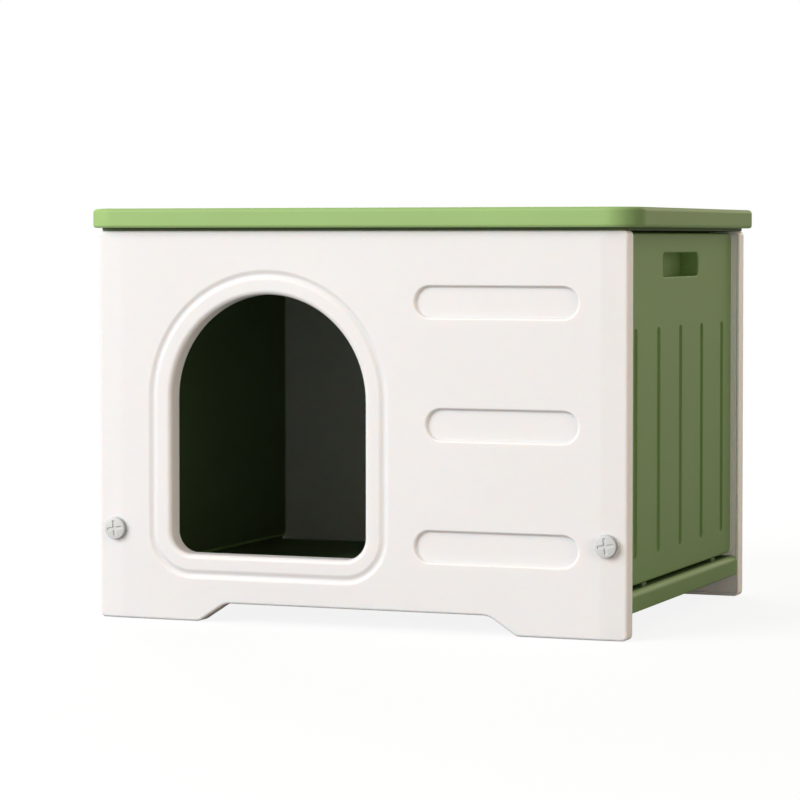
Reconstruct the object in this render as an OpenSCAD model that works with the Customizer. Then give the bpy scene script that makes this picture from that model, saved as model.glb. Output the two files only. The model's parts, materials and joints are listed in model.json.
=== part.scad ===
// Knock-down plastic pet house with a flat lift-off roof.
// A front panel with an arched doorway and a rear panel stand on their own feet.
// Two side panels and a raised floor are clamped between them by four slotted screws.
// Every panel, and the roof, is a moulded shell closed by a thin inner liner.
// Millimetres, Z up, front towards -Y, origin on the ground at the middle of the house.

/* [Overall] */
// Width of the front and rear panels
house_w = 560; // [520:5:640]
// Depth over the side edges of the front and rear panels
house_d = 425; // [410:5:520]
// Height of the front and rear panels
panel_h = 392.5; // [385:0.5:430]

/* [Front and rear panels] */
// Thickness of the panel at its side edges
panel_t = 18; // [17:0.5:22]
// How far the middle of the panel stands proud of its side edges
bulge = 2.5; // [1:0.5:3]
// Width of the sloping band down each side edge
band_w = 26; // [20:1:34]
// Corner radius of the panel outline
panel_corner = 5; // [3:0.5:8]
// Width of the gap between the feet, on the ground
gap_w = 338; // [260:2:360]
// Width of the gap between the feet, at its top
gap_top_w = 280; // [200:2:290]
// Height of the gap between the feet
gap_h = 19; // [12:1:20]

/* [Doorway] */
// Distance of the doorway's centre line from the middle of the panel
door_x = -94; // [-110:1:-85]
// Width of the doorway
door_w = 210; // [180:2:220]
// Height of the doorway
door_h = 261.5; // [230:0.5:265]
// Height of the sill above the ground
sill_z = 67.5; // [60:0.5:75]
// Radius of the doorway's lower corners
door_corner = 22; // [12:1:30]
// Distance from the doorway to the line engraved around it
line_offset = 20; // [16:1:22]
// Width of the engraved line
line_w = 9; // [6:0.5:10]
// Depth of the engraved line
line_depth = 2.2; // [1:0.1:2.6]

/* [Recesses] */
// Length of the upper and lower recess
recess_len = 169; // [140:1:175]
// How much shorter the middle recess is, at its left end
recess_short = 12; // [0:1:30]
// Height of a recess
recess_h = 32; // [24:1:36]
// Depth of a recess
recess_depth = 4; // [2:0.5:4.5]
// Right end of every recess, from the middle of the panel
recess_right = 232; // [225:1:235]
// Height of the lowest recess's centre line
recess_z = 84; // [80:1:95]
// Vertical distance between recess centre lines
recess_pitch = 119.5; // [100:0.5:125]

/* [Side panels] */
// Distance of the side panel's outer face from the house's side
side_inset = 9; // [7:0.5:12]
// Thickness of a side panel
side_t = 21.5; // [20:0.5:24]
// Height of the side panel's lower edge
side_z0 = 47.5; // [47:0.5:50]
// How far the side panel's upper edge lies below the top of the front panel
side_drop = 2; // [1:0.5:6]
// Corner radius of the side panel
side_corner = 9; // [5:1:12]
// Number of grooves
groove_n = 5; // [3:2:5]
// Distance between grooves
groove_pitch = 78; // [74:1:80]
// Width of a groove
groove_w = 11; // [8:1:14]
// Depth of a groove
groove_depth = 3; // [1.5:0.5:3]
// Height of the lower end of the grooves
groove_z0 = 73; // [70:1:90]
// Height of the upper end of the grooves
groove_z1 = 297; // [260:1:300]
// Length of the hand slot
slot_len = 129; // [100:1:135]
// Height of the hand slot
slot_h = 24; // [20:1:26]
// Distance from the side panel's upper edge to the hand slot's centre line
slot_drop = 32; // [28:1:45]

/* [Floor] */
// Distance of the floor's lip from the house's side
floor_inset = 1.7; // [1:0.1:4]
// Height of the underside of the floor
floor_z0 = 24; // [23:1:28]
// Height of the top of the floor
floor_z1 = 44; // [42:0.5:44]
// Radius along the outer edge of the lip
lip_r = 6; // [3:0.5:8]

/* [Roof] */
// How far the roof overhangs the side edges of the panels
roof_over = 12.5; // [11:0.5:18]
// Gap between the tops of the panels and the roof's lower edge
roof_gap = 3; // [2:0.5:5]
// Thickness of the roof
roof_t = 19.5; // [16:0.5:30]
// Corner radius of the roof, seen from above
roof_corner = 32; // [26:1:34]
// Rounding of the roof's upper and lower edges
roof_edge_r = 4; // [2.5:0.5:4.5]

/* [Screws] */
// Height of the screws
screw_z = 91; // [88:1:100]
// Radius of the screw head
head_r = 11; // [9:0.5:11.5]
// Height of the screw head
head_h = 4.5; // [3.5:0.5:5.5]
// Radius of the screw shank
shank_r = 4; // [3:0.5:4]
// Length of thread held in the socket
thread_len = 27; // [20:1:28]
// Turn of the screw about its own axis
slot_turn = 8; // [0:1:90]

/* [Hidden] */
$fn = 96;

white = [0.95, 0.93, 0.90];
green = [0.50, 0.64, 0.36];
grey = [0.80, 0.80, 0.78];

wall = 3;           // moulded wall thickness
liner_t = 2.5;      // liner thickness
fit = 0.3;          // gap around a liner set into its shell
seam = 0.2;         // gap where two assembled parts butt
rib_t = 2;          // rib thickness
eps = 0.01;         // overshoot of a cut past a face
over = 1;           // overshoot of a cut or overlap of a union where more does no harm
long = 1000;        // longer than any part

side_x1 = house_w / 2 - side_inset;
side_x0 = side_x1 - side_t;
side_mid = (side_x0 + side_x1) / 2;
inner_y = house_d / 2 - panel_t;
side_len = 2 * (inner_y - seam);
side_z1 = panel_h - side_drop;
side_h = side_z1 - side_z0;
slot_z = side_z1 - slot_drop;
floor_x1 = house_w / 2 - floor_inset;
floor_h = floor_z1 - floor_z0;
roof_z0 = panel_h + roof_gap;
roof_z1 = roof_z0 + roof_t;

// Slope of the foot gap's ends, and how far each end moves when its wall moves by 1
gap_angle = atan(2 * gap_h / (gap_w - gap_top_w));
gap_shift = 1 / sin(gap_angle);

// The engraved line's section is a triangle with a short upright part above it
line_rise = 0.6;
line_spread = 0.5;
// Thickened skin behind the engraved line
line_pad = line_offset + line_w / 2 + wall;

// Screw hole in a front or rear panel
boss_r = 9;
hole_r = 4.4;
pad_r = 11.6;
pad_t = 4.5;

// Threaded socket in a side panel's end, and the boss around it
socket_r = 5.5;
socket_bore = 4.3;
socket_len = 28;
socket_boss_r = 8.5;
socket_gap = 0.1;

// Screw head details
washer_t = 1;
washer_rim = 0.3;
dome_h = 1;
cross_len = 16;
cross_w = 2.2;
cross_depth = 1.7;
point_len = 3;
point_taper = 2;

// Tongues on the side panels and lugs on the floor, and the windows that they enter
tongue_t = 6;
tongue_len = 60;
tongue_z = [170, 300];
lug_x = 150;
lug_len = 60;
lug_h = 10;
lug_z0 = floor_z0 + 4;
key_depth = liner_t - seam;
key_gap = 0.5;

// Radius of the hand slot's corners, and spacing of the ribs behind a side panel's skin
slot_r = 7;
side_rib_y = 48;
side_rib_z = 54;

// Ribs under the floor, and the tabs on it that carry the side panels
floor_rib_x = 52;
floor_rib_y = 48;
tab_y = 125;
tab_len = 14;
tab_inset = 2;

// Ribs under the roof, the step that rests on the panels and the ring inside them
roof_rib_x = 56;
roof_rib_y = 54;
step_inset = 1;
step_r = 6;
ring_gap = 1.5;
ring_h = 10;
ring_r = 6;

// ---------------------------------------------------------------- outlines

// Rectangle with round corners, centred on the origin.
module round_rect(w, h, r) {
    square([w - 2 * r, h], center = true);
    square([w, h - 2 * r], center = true);
    for (sx = [-1, 1], sy = [-1, 1])
        translate([sx * (w / 2 - r), sy * (h / 2 - r)])
            circle(r);
}

// Rectangle with half-round ends, centred on the origin.
module stadium(w, h) {
    square([w - h, h], center = true);
    for (s = [-1, 1])
        translate([s * (w - h) / 2, 0])
            circle(h / 2);
}

// Doorway outline in the panel's plane, grown by the same amount all round.
module arch(grow) {
    half = door_w / 2 + grow;
    r = door_corner + grow;
    spring = door_h - door_w / 2;
    translate([door_x, sill_z]) {
        translate([0, spring])
            circle(half);
        translate([-half, door_corner])
            square([2 * half, spring - door_corner]);
        translate([-half + r, -grow])
            square([2 * (half - r), r + eps]);
        for (s = [-1, 1])
            translate([s * (half - r), door_corner])
                circle(r);
    }
}

// Gap between the feet, grown by the same amount on its top and slopes.
module foot_gap(grow) {
    low = gap_w / 2 + grow * gap_shift;
    top = gap_h + grow;
    high = low - top / tan(gap_angle);
    polygon([[-low, 0], [low, 0], [high, top], [-high, top]]);
    translate([-low, -over])
        square([2 * low, over + eps]);
}

// Front or rear panel outline, shrunk by the same amount all round.
// Its corners keep at least half of their radius.
module panel_outline(inset) {
    r = panel_corner - min(inset, wall) / 2;
    difference() {
        translate([0, panel_h / 2])
            round_rect(house_w - 2 * inset, panel_h - 2 * inset, r);
        foot_gap(inset);
    }
}

// ---------------------------------------------------------------- panel helpers
// A panel is drawn standing on the ground with its side edges starting on the plane
// Y = 0 and its outer face towards -Y. Its inner face is on the plane Y = panel_t.

// Extrudes an outline drawn in the panel's plane from depth y0 to depth y1.
module along_y(y0, y1) {
    translate([0, y1, 0])
        rotate([90, 0, 0])
            linear_extrude(y1 - y0)
                children();
}

// Everything behind the panel's outer face, with that face moved inwards.
module behind_face(inward) {
    half = house_w / 2;
    flat = half - band_w;
    linear_extrude(long, center = true)
        polygon([
            [-half, inward], [-flat, inward - bulge], [flat, inward - bulge], [half, inward],
            [half, panel_t + eps], [-half, panel_t + eps]
        ]);
}

// The three recesses beside the doorway, grown by the same amount all round.
module recess_outlines(grow) {
    for (i = [0 : 2]) {
        len = recess_len - (i == 1 ? recess_short : 0);
        translate([recess_right - len / 2, recess_z + i * recess_pitch])
            stadium(len + 2 * grow, recess_h + 2 * grow);
    }
}

// Places its children at the two screw positions of a panel.
module at_screws() {
    for (s = [-1, 1])
        translate([s * side_mid, 0, screw_z])
            children();
}

// Section of the engraved line, with its bottom at depth line_depth.
module line_section() {
    half = line_w / 2;
    polygon([
        [-half - line_spread, -line_rise], [half + line_spread, -line_rise],
        [half, 0], [0, line_depth], [-half, 0]
    ]);
}

// One straight run of the engraved line, going up from a point, or turned from there.
module line_run(x, z, len, turn) {
    translate([x, -bulge, z])
        rotate([0, turn, 0])
            linear_extrude(len)
                line_section();
}

// One curved run of the engraved line about a centre, from one angle to another.
module line_arc(x, z, r, from, sweep) {
    translate([x, -bulge, z])
        rotate([-90, 0, 0])
            rotate([0, 0, from])
                rotate_extrude(angle = sweep)
                    translate([r, 0])
                        line_section();
}

// The engraved line around the doorway.
module door_line() {
    half = door_w / 2 + line_offset;
    r = door_corner + line_offset;
    spring = sill_z + door_h - door_w / 2;
    bend = sill_z + door_corner;
    line_arc(door_x, spring, half, 180, 180);
    for (s = [-1, 1])
        line_run(door_x + s * half, bend, spring - bend, 0);
    line_run(door_x - half + r, sill_z - line_offset, 2 * (half - r), 90);
    line_arc(door_x - half + r, bend, r, 90, 90);
    line_arc(door_x + half - r, bend, r, 0, 90);
}

// Windows in a liner for the side panels' tongues and the floor's lugs.
module key_windows() {
    for (s = [-1, 1]) {
        for (z = tongue_z)
            translate([s * side_mid, z + tongue_len / 2])
                square([tongue_t + key_gap, tongue_len + key_gap], center = true);
        translate([s * lug_x, lug_z0 + lug_h / 2])
            square([lug_len + key_gap, lug_h + key_gap], center = true);
    }
}

// Moulded outer shell of a front panel, or of a rear panel, which has no doorway.
module panel_shell(has_door) {
    difference() {
        union() {
            difference() {
                intersection() {
                    along_y(-bulge, panel_t)
                        panel_outline(0);
                    behind_face(0);
                }
                intersection() {
                    along_y(-bulge, panel_t + eps)
                        panel_outline(wall);
                    behind_face(wall);
                }
            }
            intersection() {
                union() {
                    along_y(-bulge, recess_depth - bulge + wall)
                        recess_outlines(wall);
                    if (has_door)
                        along_y(-bulge, line_depth - bulge + wall)
                            arch(line_pad);
                }
                along_y(-bulge, panel_t)
                    panel_outline(wall / 2);
                behind_face(wall / 2);
            }
            if (has_door)
                along_y(0, panel_t)
                    arch(wall);
            at_screws()
                along_y(-bulge, panel_t)
                    circle(boss_r);
            at_screws()
                along_y(-bulge, pad_t - bulge)
                    circle(pad_r);
        }
        if (has_door) {
            along_y(-long, long)
                arch(0);
            door_line();
        }
        along_y(-bulge - over, recess_depth - bulge)
            recess_outlines(0);
        at_screws()
            along_y(-bulge - over, panel_t + over)
                circle(hole_r);
    }
}

// Flat inner skin that closes a front or rear shell.
module panel_liner(has_door) {
    along_y(panel_t - liner_t, panel_t)
        difference() {
            panel_outline(wall + fit);
            if (has_door)
                arch(wall + fit);
            key_windows();
            for (s = [-1, 1])
                translate([s * side_mid, screw_z])
                    circle(boss_r + fit);
        }
}

// Moves a panel to the front of the house.
module at_front() {
    translate([0, -house_d / 2, 0])
        children();
}

// Moves a panel to the rear of the house, facing the other way.
module at_rear() {
    rotate([0, 0, 180])
        at_front()
            children();
}

// ---------------------------------------------------------------- side panels
// Drawn as the right-hand panel. The left-hand one is its mirror image.

// Extrudes an outline drawn in the YZ plane from x0 to x1.
module along_x(x0, x1) {
    translate([x0, 0, 0])
        rotate([90, 0, 90])
            linear_extrude(x1 - x0)
                children();
}

// Side panel outline, shrunk by the same amount all round.
module side_outline(inset) {
    translate([0, (side_z0 + side_z1) / 2])
        round_rect(side_len - 2 * inset, side_h - 2 * inset, side_corner - inset);
}

// The upright grooves, grown by the same amount all round.
module groove_outlines(grow) {
    len = groove_z1 - groove_z0;
    for (i = [0 : groove_n - 1])
        translate([(i - (groove_n - 1) / 2) * groove_pitch, groove_z0 + len / 2])
            rotate(90)
                stadium(len + 2 * grow, groove_w + 2 * grow);
}

// Hand slot outline, grown by the same amount all round.
module hand_slot(grow) {
    translate([0, slot_z])
        round_rect(slot_len + 2 * grow, slot_h + 2 * grow, slot_r + grow);
}

// Round bars that run inwards from just outside both of the panel's ends.
module end_bars(r, len) {
    for (s = [-1, 1])
        translate([side_mid, s * (side_len / 2 + over), screw_z])
            rotate([90 * s, 0, 0])
                cylinder(r = r, h = len + over);
}

// Ribs between the side panel's skin and its liner.
module side_ribs(x0) {
    for (y = [-3.5 : 3.5])
        translate([x0, y * side_rib_y - rib_t / 2, side_z0])
            cube([side_t, rib_t, side_h]);
    for (z = [side_z0 + side_rib_z : side_rib_z : side_z1 - rib_t])
        translate([x0, -side_len / 2, z])
            cube([side_t, side_len, rib_t]);
}

// Tongues at both ends that enter the front and rear liners.
module side_tongues() {
    reach = key_depth + over;
    mid = side_len / 2 + key_depth - reach / 2;
    for (s = [-1, 1], z = tongue_z)
        translate([side_mid - tongue_t / 2, s * mid - reach / 2, z])
            cube([tongue_t, reach, tongue_len]);
}

// Moulded outer shell of a side panel.
module side_shell() {
    liner_face = side_x0 + liner_t + fit;
    difference() {
        union() {
            difference() {
                along_x(side_x0, side_x1)
                    side_outline(0);
                along_x(side_x0 - eps, side_x1 - wall)
                    side_outline(wall);
            }
            intersection() {
                along_x(liner_face, side_x1 - eps)
                    side_outline(wall / 2);
                union() {
                    along_x(side_x1 - groove_depth - wall, side_x1)
                        groove_outlines(wall);
                    side_ribs(liner_face);
                    end_bars(socket_boss_r, socket_len + wall);
                }
            }
            along_x(liner_face, side_x1 - eps)
                hand_slot(wall);
            side_tongues();
        }
        along_x(side_x1 - groove_depth, side_x1 + over)
            groove_outlines(0);
        along_x(side_x0 - over, side_x1 + over)
            hand_slot(0);
        end_bars(socket_r + socket_gap, socket_len);
    }
}

// Flat inner skin that closes a side shell, and the hand slot with it.
module side_liner() {
    along_x(side_x0, side_x0 + liner_t)
        side_outline(wall + fit);
}

// ---------------------------------------------------------------- floor

// Cross-section of the floor from the middle of the house to its right-hand lip.
module floor_section() {
    lip_w = 3 * wall;
    translate([0, floor_z1 - wall])
        square([floor_x1 - lip_r, wall]);
    difference() {
        union() {
            translate([floor_x1 - lip_w, floor_z0])
                square([lip_w, floor_h - lip_r]);
            translate([floor_x1 - lip_r, floor_z1 - lip_r])
                circle(lip_r);
            translate([floor_x1 - lip_w, floor_z0])
                square([lip_w - lip_r, floor_h]);
        }
        translate([0, floor_z0 - over])
            square([floor_x1 - wall, floor_h - wall + over]);
    }
}

// Walls across the floor's ends, and ribs under its deck.
module floor_ribs() {
    run = floor_x1 - lip_r;
    for (s = [-1, 1])
        translate([-run, s * (side_len - wall) / 2 - wall / 2, floor_z0])
            cube([2 * run, wall, floor_h - over]);
    for (y = [-3.5 : 3.5])
        translate([-floor_x1 + wall / 2, y * floor_rib_y - rib_t / 2, floor_z0])
            cube([2 * floor_x1 - wall, rib_t, floor_h - lip_r]);
    for (x = [-4.5 : 4.5])
        translate([x * floor_rib_x - rib_t / 2, -side_len / 2 + over, floor_z0])
            cube([rib_t, side_len - 2 * over, floor_h - over]);
}

// Lugs that enter the front and rear liners.
module floor_lugs() {
    reach = key_depth + over;
    mid = side_len / 2 + key_depth - reach / 2;
    for (sx = [-1, 1], sy = [-1, 1])
        translate([sx * lug_x - lug_len / 2, sy * mid - reach / 2, lug_z0])
            cube([lug_len, reach, lug_h]);
}

// Tabs that carry the side panels.
module floor_tabs() {
    for (sx = [-1, 1], sy = [-1, 1])
        translate([sx * side_mid - side_t / 2 + tab_inset, sy * tab_y - tab_len / 2, floor_z1 - over])
            cube([side_t - tab_inset, tab_len, side_z0 - floor_z1 + over]);
}

// ---------------------------------------------------------------- roof

// Edge of the roof, from its corner centre outwards. Half of each of its two circles
// lies towards the corner centre, inside the section.
module roof_section() {
    square([roof_corner - roof_edge_r, roof_t]);
    translate([0, roof_edge_r])
        square([roof_corner, roof_t - 2 * roof_edge_r]);
    for (y = [roof_edge_r, roof_t - roof_edge_r])
        translate([roof_corner - roof_edge_r, y])
            circle(roof_edge_r);
}

// Solid slab with the roof's outer shape.
module roof_block() {
    half_w = house_w / 2 + roof_over - roof_corner;
    half_d = house_d / 2 + roof_over - roof_corner;
    translate([0, 0, roof_z0]) {
        translate([-half_w, -half_d, 0])
            cube([2 * half_w, 2 * half_d, roof_t]);
        for (s = [0, 180])
            rotate(s) {
                translate([half_w, half_d, 0])
                    rotate([90, 0, 0])
                        linear_extrude(2 * half_d)
                            roof_section();
                translate([half_w, half_d, 0])
                    rotate(90)
                        rotate([90, 0, 0])
                            mirror([0, 0, 1])
                                linear_extrude(2 * half_w)
                                    roof_section();
            }
        for (sx = [0, 1], sy = [0, 1])
            mirror([sx, 0, 0])
                mirror([0, sy, 0])
                    translate([half_w, half_d, 0])
                        rotate_extrude(angle = 90)
                            roof_section();
    }
}

// Flat plate in the roof's outline, set in from it all round.
module roof_plate(inset, z0, z1, r) {
    grow = 2 * (roof_over - inset);
    translate([0, 0, z0])
        linear_extrude(z1 - z0)
            round_rect(house_w + grow, house_d + grow, r);
}

// Ribs between the roof's skin and its liner.
module roof_ribs() {
    for (x = [-4.5 : 4.5])
        translate([x * roof_rib_x - rib_t / 2, -long / 2, roof_z0])
            cube([rib_t, long, roof_t]);
    for (y = [-3.5 : 3.5])
        translate([-long / 2, y * roof_rib_y - rib_t / 2, roof_z0])
            cube([long, rib_t, roof_t]);
}

// Moulded outer shell of the roof, open downwards.
module roof_shell() {
    difference() {
        roof_block();
        roof_plate(wall, roof_z0 - over, roof_z1 - wall, roof_corner - wall);
    }
    intersection() {
        roof_plate(wall / 2, roof_z0 + fit + liner_t + fit, roof_z1 - wall / 2, roof_corner - wall);
        roof_ribs();
    }
}

// Upright ring with its outer face at the given distance inside the walls.
module wall_ring(gap, r) {
    round_rect(2 * (side_x0 - gap), 2 * (inner_y - gap), r);
}

// Underside of the roof: a flat plate, a step that rests on the panels' tops,
// and a ring that drops inside the walls and stops the roof from sliding off.
module roof_underside() {
    inset = wall + fit;
    roof_plate(inset, roof_z0 + fit, roof_z0 + fit + liner_t, roof_corner - inset);
    translate([0, 0, panel_h])
        linear_extrude(roof_gap + fit + over)
            round_rect(house_w - 2 * step_inset, house_d - 2 * step_inset, step_r);
    translate([0, 0, panel_h - ring_h])
        linear_extrude(ring_h + over)
            difference() {
                wall_ring(ring_gap, ring_r);
                wall_ring(ring_gap + wall, ring_r - wall);
            }
}

// ---------------------------------------------------------------- fasteners

// Places its children at one corner: side is -1 for left, end is -1 for front.
// The children's +Z axis points out of the house.
module at_corner(side, end) {
    translate([side * side_mid, end * (house_d / 2 + bulge), screw_z])
        rotate([-90 * end, 0, 0])
            children();
}

// Thin washer, lying on the panel.
module washer() {
    linear_extrude(washer_t)
        difference() {
            circle(head_r + washer_rim);
            circle(hole_r);
        }
}

// Low domed head with a cross slot, on a plain shank with a blunt tapered tip.
module screw() {
    dome_r = (head_r * head_r + dome_h * dome_h) / (2 * dome_h);
    reach = panel_t + bulge + washer_t + thread_len;
    translate([0, 0, washer_t])
        rotate(slot_turn)
            difference() {
                rotate_extrude()
                    intersection() {
                        square([head_r, head_h]);
                        translate([0, head_h - dome_r])
                            circle(dome_r, $fn = 720);
                    }
                for (a = [0, 90])
                    rotate(a)
                        translate([-cross_len / 2, -cross_w / 2, head_h - cross_depth])
                            cube([cross_len, cross_w, cross_depth + over]);
            }
    translate([0, 0, washer_t - reach + point_len])
        cylinder(r = shank_r, h = reach - point_len + eps);
    translate([0, 0, washer_t - reach])
        cylinder(r1 = shank_r - point_taper, r2 = shank_r, h = point_len);
}

// Plain sleeve that stands for the thread in a side panel's end.
module socket(side, end) {
    translate([side * side_mid, end * side_len / 2, screw_z])
        rotate([90 * end, 0, 0])
            linear_extrude(socket_len)
                difference() {
                    circle(socket_r);
                    circle(socket_bore);
                }
}

// ---------------------------------------------------------------- nodes

module front_shell() {
    color(white)
        at_front()
            panel_shell(true);
}

module front_liner() {
    color(white)
        at_front()
            panel_liner(true);
}

module rear_shell() {
    color(white)
        at_rear()
            panel_shell(false);
}

module rear_liner() {
    color(white)
        at_rear()
            panel_liner(false);
}

module left_shell() {
    color(green)
        mirror([1, 0, 0])
            side_shell();
}

module left_liner() {
    color(green)
        mirror([1, 0, 0])
            side_liner();
}

module right_shell() {
    color(green)
        side_shell();
}

module right_liner() {
    color(green)
        side_liner();
}

module floor_tray() {
    color(green) {
        for (s = [0, 1])
            mirror([s, 0, 0])
                translate([0, side_len / 2, 0])
                    rotate([90, 0, 0])
                        linear_extrude(side_len)
                            floor_section();
        floor_ribs();
        floor_lugs();
        floor_tabs();
    }
}

module threaded_sockets() {
    color(grey)
        for (side = [-1, 1], end = [-1, 1])
            socket(side, end);
}

module roof_cover() {
    color(green)
        roof_shell();
}

module roof_liner() {
    color(green)
        roof_underside();
}

module front_left_screw() {
    color(grey)
        at_corner(-1, -1)
            screw();
}

module front_right_screw() {
    color(grey)
        at_corner(1, -1)
            screw();
}

module rear_left_screw() {
    color(grey)
        at_corner(-1, 1)
            screw();
}

module rear_right_screw() {
    color(grey)
        at_corner(1, 1)
            screw();
}

module front_left_washer() {
    color(grey)
        at_corner(-1, -1)
            washer();
}

module front_right_washer() {
    color(grey)
        at_corner(1, -1)
            washer();
}

module rear_left_washer() {
    color(grey)
        at_corner(-1, 1)
            washer();
}

module rear_right_washer() {
    color(grey)
        at_corner(1, 1)
            washer();
}

front_shell();
front_liner();
rear_shell();
rear_liner();
left_shell();
left_liner();
right_shell();
right_liner();
floor_tray();
threaded_sockets();
roof_cover();
roof_liner();
front_left_screw();
front_right_screw();
rear_left_screw();
rear_right_screw();
front_left_washer();
front_right_washer();
rear_left_washer();
rear_right_washer();
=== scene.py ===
"""Knock-down pet house with an arched doorway and a flat lift-off roof.

Every piece is modelled in millimetres on a flat workplane (u right, v up, h outwards)
and written out in metres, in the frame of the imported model.
"""

import json
import math

import bpy
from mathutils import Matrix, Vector
from mathutils.geometry import delaunay_2d_cdt

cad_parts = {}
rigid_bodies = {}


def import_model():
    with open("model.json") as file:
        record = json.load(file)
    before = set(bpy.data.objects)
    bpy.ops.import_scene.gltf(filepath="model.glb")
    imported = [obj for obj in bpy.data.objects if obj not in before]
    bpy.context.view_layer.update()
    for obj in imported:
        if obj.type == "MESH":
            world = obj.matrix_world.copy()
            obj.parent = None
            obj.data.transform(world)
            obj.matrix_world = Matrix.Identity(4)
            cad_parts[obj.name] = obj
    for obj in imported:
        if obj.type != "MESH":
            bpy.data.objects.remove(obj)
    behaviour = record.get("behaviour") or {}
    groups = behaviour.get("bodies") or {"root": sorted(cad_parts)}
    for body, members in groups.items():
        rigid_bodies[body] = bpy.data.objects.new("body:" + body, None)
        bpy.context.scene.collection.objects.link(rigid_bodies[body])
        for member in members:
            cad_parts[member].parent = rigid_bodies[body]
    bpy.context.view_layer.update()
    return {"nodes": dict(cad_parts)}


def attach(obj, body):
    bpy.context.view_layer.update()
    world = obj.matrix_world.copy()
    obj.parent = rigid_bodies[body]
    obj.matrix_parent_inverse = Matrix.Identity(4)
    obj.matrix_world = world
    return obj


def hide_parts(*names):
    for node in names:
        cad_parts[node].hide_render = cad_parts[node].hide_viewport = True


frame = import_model()

scene = bpy.context.scene

MM = 0.001
TINY = 1e-6
NO_AREA = 1e-7          # faces below this are left out
WELD = 500              # corners closer than a 500th of a millimetre become one
NEAR = 0.1              # a polygon within this of a face counts as part of it

# steps round a rounded corner
FINE, COARSE, SECTION_STEP = math.radians(9), math.radians(30), math.radians(15)
DOOR_STEP, ROOF_STEP = math.radians(4), math.radians(3)

# ------------------------------------------------------------------ sizes, in millimetres
HALF_W = 280.0          # front and rear panels, to their side edges
PANEL_H = 392.5
FACE_Y = 215.0          # main face of the front and rear panels
PANEL_BACK = -20.5      # inner face of a panel, behind its main face
PANEL_REBATE = -17.7    # bottom of the rebate that the liner lies in
PANEL_R = 5.0
BULGE = 2.5             # fall of the bands at the side edges
BAND_W = 26.0
CREASE = 1.5            # half the width of the rounding where the band begins
BEND_FROM, BEND_TO = -15.0, -6.0    # the wall below the band leans in between these heights
WALL = 3.0
GAP = 0.3               # between a liner and its shell
LINER = 2.5
PANEL_EDGE = 2.6
LIP_EDGE, REBATE_EDGE = 0.8, 0.4    # the two sides of a shell's inner lip
STRIP = 4.0             # from a recess's outline to where its flat floor is filled

GAP_W, GAP_TOP_W, GAP_H = 338.0, 280.0, 19.0        # between the feet
GAP_R, GAP_TOP_R = 10.0, 20.0

DOOR_X, DOOR_W, DOOR_H, SILL_Z, DOOR_R = -94.0, 210.0, 261.5, 67.5, 22.0
DOOR_EDGE = 5.0
LINE_OFFSET, LINE_W, LINE_DEPTH = 20.0, 9.0, 2.2    # engraved line round the doorway
LINE_R, LINE_STRIP = 4.0, 1.5

RECESS_LEN, RECESS_SHORT, RECESS_H = 169.0, 12.0, 32.0
RECESS_RIGHT, RECESS_Z, RECESS_PITCH, RECESS_DEPTH = 232.0, 84.0, 119.5, 4.0

SIDE_X = 271.0          # outer face of the side panels
SIDE_MID = 260.25       # middle of their thickness, where the screws and tongues are
SIDE_HALF = 194.3
SIDE_Z0, SIDE_Z1, SIDE_R = 47.5, 390.5, 9.0
SIDE_BACK, SIDE_REBATE = -21.5, -18.7
SIDE_EDGE = 2.5
GROOVE_PITCH, GROOVE_W, GROOVE_DEPTH = 78.0, 11.0, 3.0
GROOVE_Z0, GROOVE_Z1 = 73.0, 297.0
SLOT_HALF, SLOT_Z0, SLOT_Z1, SLOT_R, SLOT_EDGE = 64.5, 346.5, 370.5, 7.0, 1.5
BORE_R, BORE_LEN = 5.6, 28.0

FLOOR_X, FLOOR_Z0, FLOOR_Z1, LIP_R = 278.3, 24.0, 44.0, 6.0
FOOT_R, FLOOR_END = 1.2, 0.5
DECK_X = 272.0          # the deck is painted the darker green, as shade, as far as this
TAB_X, TAB_Y, TAB_HALF, TAB_R = (251.5, 271.0), 125.0, 7.0, 1.0
SILL_X, SILLS_Y = (251.8, 253.8), ((-190.0, -134.0), (-116.0, 116.0), (134.0, 190.0))
RIB_T, RIBS_X, RIBS_Y = 2.0, (52.0, 5), (48.0, 4)   # pitch, and number on each side
POCKET_R = 1.0

ROOF_X, ROOF_Y, ROOF_Z, ROOF_R, ROOF_T = 292.5, 225.0, 415.0, 32.0, 19.5
ROOF_EDGE, ROOF_INSIDE = 4.0, -16.4
REST_X, REST_Y, FENCE_X, FENCE_Y, FENCE_R = 279.0, 211.5, 248.0, 193.0, 6.0

SCREW_Z = 91.0
HOLE_R, BOSS_R, PAD_R = 4.4, 9.0, 11.6
HEAD_R, HEAD_H, DOME, WASHER_R, WASHER_T = 11.0, 4.5, 1.0, 11.3, 1.0
BRIM = 0.8              # rounded outer strip of a screw's head
CROSS_TURN = math.radians(8)
CROSS_HALF, CROSS_HALF_W, CROSS_DEPTH, CROSS_EDGE, CROSS_LEAN = 8.2, 1.7, 1.1, 0.3, 0.8
CROSS_END_R, CROSS_INNER_R = 1.2, 0.8
DOME_RINGS = (4.0, 6.5, 8.6)
SHANK_R, SHANK_PARTS = 4.0, 24

TONGUES, TONGUE_HALF, TONGUE_R = ((170.0, 230.0), (300.0, 360.0)), 3.0, 0.6
LUG_X, LUG_HALF, LUG_Z0, LUG_Z1 = 150.0, 30.0, 28.0, 38.0
KEY = 2.3               # how far tongues and lugs stand out
KEY_R, KEY_GAP = 0.8, 0.25          # corners and clearance of their holes


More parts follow.
